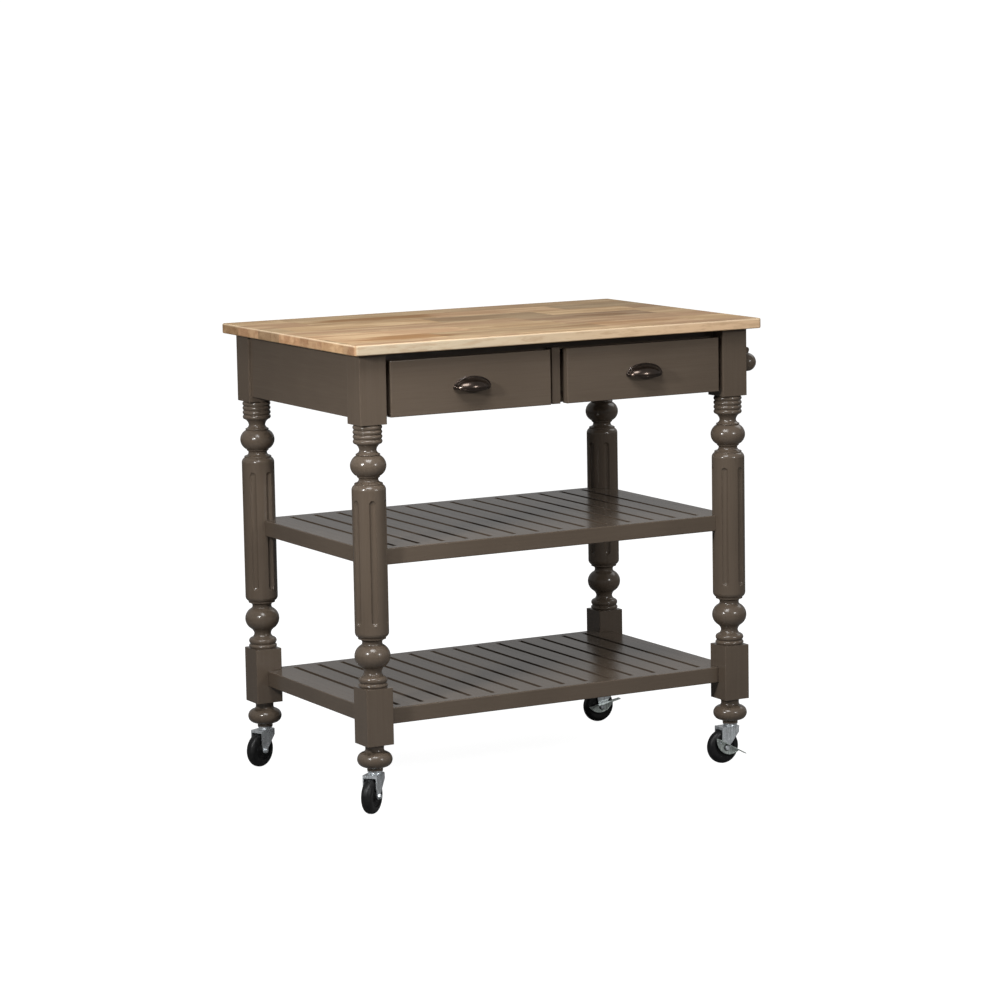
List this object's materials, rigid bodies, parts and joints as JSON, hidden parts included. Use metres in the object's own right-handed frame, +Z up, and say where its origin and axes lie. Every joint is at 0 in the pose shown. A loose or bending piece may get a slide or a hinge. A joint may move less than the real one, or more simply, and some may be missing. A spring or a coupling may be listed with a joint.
{
  "type": "butcher block table",
  "caption": "Wheeled butcher block table: staved wood top on turned fluted legs, drawers with cup pulls, slatted shelves, towel bar on one end and swivel casters.",
  "frame": {"origin": "bottom centre of the overall bounding box, on the floor; the worktop centre is 15 mm to its left because the towel bar brackets reach past the right end", "axes": "+Z up, +Y from the drawer side to the back, +X to the right seen from the drawer side, along the worktop"},
  "size_m": [0.9457, 0.6103, 0.914],
  "materials": {
    "butcher_block": "clear satin lacquer on edge-glued light hardwood staves",
    "painted_wood": "dark taupe satin paint",
    "plain_wood": "bare sanded wood",
    "dark_bronze": "glossy dark bronze",
    "zinc_plated_steel": "bright zinc plate",
    "black_steel": "black coated steel",
    "black_rubber": "smooth black solid tyre"
  },
  "bodies": {
    "frame": {"apron_back": "painted_wood", "apron_left": "painted_wood", "apron_right": "painted_wood", "caster_bl_stem": "zinc_plated_steel", "caster_br_stem": "zinc_plated_steel", "caster_fl_stem": "zinc_plated_steel", "caster_fr_stem": "zinc_plated_steel", "corner_blocks": "plain_wood", "corner_bolts": "zinc_plated_steel", "drawer_divider": "plain_wood", "leg_back_left": "painted_wood", "leg_back_right": "painted_wood", "leg_front_left": "painted_wood", "leg_front_right": "painted_wood", "rail_front_low": "painted_wood", "rail_front_top": "painted_wood", "shelf_lower_ledgers": "painted_wood", "shelf_lower_rails": "painted_wood", "shelf_lower_sides": "painted_wood", "shelf_lower_slats": "painted_wood", "shelf_upper_ledgers": "painted_wood", "shelf_upper_rails": "painted_wood", "shelf_upper_sides": "painted_wood", "shelf_upper_slats": "painted_wood", "slide_packers": "plain_wood", "slides_fixed_left": "black_steel", "slides_fixed_right": "black_steel", "stile_front": "painted_wood", "top_cleats": "plain_wood", "top_screws": "zinc_plated_steel", "top_staves": "butcher_block", "towel_bar": "painted_wood", "towel_bar_brackets": "painted_wood", "towel_bar_screws": "zinc_plated_steel"},
    "drawer_left": {"drawer_left_back": "plain_wood", "drawer_left_base": "plain_wood", "drawer_left_front": "painted_wood", "drawer_left_pull": "dark_bronze", "drawer_left_pull_screws": "zinc_plated_steel", "drawer_left_sides": "painted_wood", "drawer_left_slides": "black_steel"},
    "drawer_right": {"drawer_right_back": "plain_wood", "drawer_right_base": "plain_wood", "drawer_right_front": "painted_wood", "drawer_right_pull": "dark_bronze", "drawer_right_pull_screws": "zinc_plated_steel", "drawer_right_sides": "painted_wood", "drawer_right_slides": "black_steel"},
    "swivel_fl": {"caster_fl_fork": "zinc_plated_steel"},
    "wheel_fl": {"caster_fl_wheel": "black_rubber"},
    "swivel_bl": {"caster_bl_fork": "zinc_plated_steel"},
    "wheel_bl": {"caster_bl_wheel": "black_rubber"},
    "swivel_fr": {"caster_fr_fork": "zinc_plated_steel"},
    "wheel_fr": {"caster_fr_wheel": "black_rubber"},
    "swivel_br": {"caster_br_fork": "zinc_plated_steel"},
    "wheel_br": {"caster_br_wheel": "black_rubber"},
    "brake_fr": {"caster_fr_brake": "zinc_plated_steel"},
    "brake_br": {"caster_br_brake": "zinc_plated_steel"}
  },
  "joints": [
    {"name": "drawer_left_slide", "type": "slide", "parent": "frame", "child": "drawer_left", "axis": [0, -1, 0], "range_m": [0, 0.33]},
    {"name": "drawer_right_slide", "type": "slide", "parent": "frame", "child": "drawer_right", "axis": [0, -1, 0], "range_m": [0, 0.33]},
    {"name": "caster_fl_swivel", "type": "hinge", "parent": "frame", "child": "swivel_fl", "pos_m": [-0.4225, -0.2515, 0.0762], "axis": [0, 0, 1], "continuous": true},
    {"name": "caster_fl_roll", "type": "hinge", "parent": "swivel_fl", "child": "wheel_fl", "pos_m": [-0.43706, -0.26371, 0.035], "axis": [0.6428, -0.766, 0], "continuous": true},
    {"name": "caster_fr_swivel", "type": "hinge", "parent": "frame", "child": "swivel_fr", "pos_m": [0.3925, -0.2515, 0.0762], "axis": [0, 0, 1], "continuous": true},
    {"name": "caster_fr_roll", "type": "hinge", "parent": "swivel_fr", "child": "wheel_fr", "pos_m": [0.3735, -0.2515, 0.035], "axis": [0, -1, 0], "continuous": true},
    {"name": "caster_fr_brake_lever", "type": "hinge", "parent": "swivel_fr", "child": "brake_fr", "pos_m": [0.3735, -0.2515, 0.035], "axis": [0, -1, 0], "range_deg": [0, 40]},
    {"name": "caster_bl_swivel", "type": "hinge", "parent": "frame", "child": "swivel_bl", "pos_m": [-0.4225, 0.2515, 0.0762], "axis": [0, 0, 1], "continuous": true},
    {"name": "caster_bl_roll", "type": "hinge", "parent": "swivel_bl", "child": "wheel_bl", "pos_m": [-0.43972, 0.24347, 0.035], "axis": [0.4226, -0.9063, 0], "continuous": true},
    {"name": "caster_br_swivel", "type": "hinge", "parent": "frame", "child": "swivel_br", "pos_m": [0.3925, 0.2515, 0.0762], "axis": [0, 0, 1], "continuous": true},
    {"name": "caster_br_roll", "type": "hinge", "parent": "swivel_br", "child": "wheel_br", "pos_m": [0.3735, 0.2515, 0.035], "axis": [0, -1, 0], "continuous": true},
    {"name": "caster_br_brake_lever", "type": "hinge", "parent": "swivel_br", "child": "brake_br", "pos_m": [0.3735, 0.2515, 0.035], "axis": [0, -1, 0], "range_deg": [-40, 0]}
  ]
}
